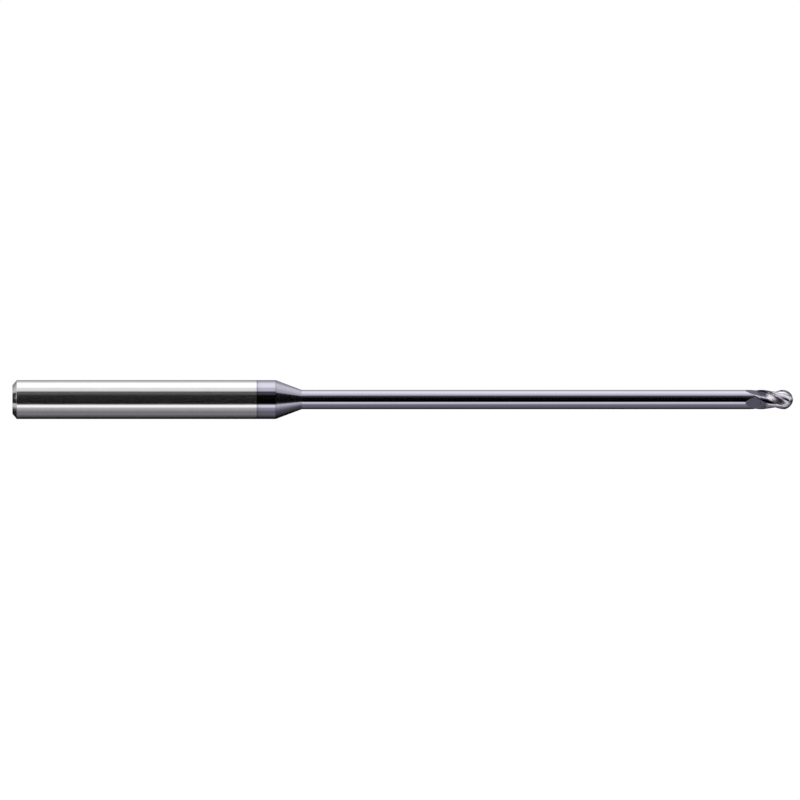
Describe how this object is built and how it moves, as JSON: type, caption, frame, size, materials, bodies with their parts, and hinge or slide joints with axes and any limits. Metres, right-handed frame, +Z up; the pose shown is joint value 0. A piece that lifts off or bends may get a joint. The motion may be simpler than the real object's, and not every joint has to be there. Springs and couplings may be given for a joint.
{
  "type": "end mill",
  "caption": "Long-reach ball nose end mill: plain round shank, coated cone and slim neck, short helical-fluted cutting head for milling deep curved pockets.",
  "frame": {"origin": "centre of the shank's flat rear face", "axes": "+X along the tool's axis from the shank to the ball nose, +Z up with the tool lying on a bench, +Y to complete a right-handed frame"},
  "size_m": [0.0635, 0.0032, 0.0032],
  "materials": {
    "carbide_bare": "ground bare tungsten carbide",
    "carbide_coated": "ground tungsten carbide with a thin dark violet-grey coating"
  },
  "bodies": {
    "root": {"shank": "carbide_bare", "shank_coated_band": "carbide_coated", "neck_cone": "carbide_coated", "neck": "carbide_coated", "flute_core": "carbide_coated", "tooth_1": "carbide_coated", "tooth_2": "carbide_coated", "tooth_3": "carbide_coated", "tooth_4": "carbide_coated"}
  },
  "joints": []
}
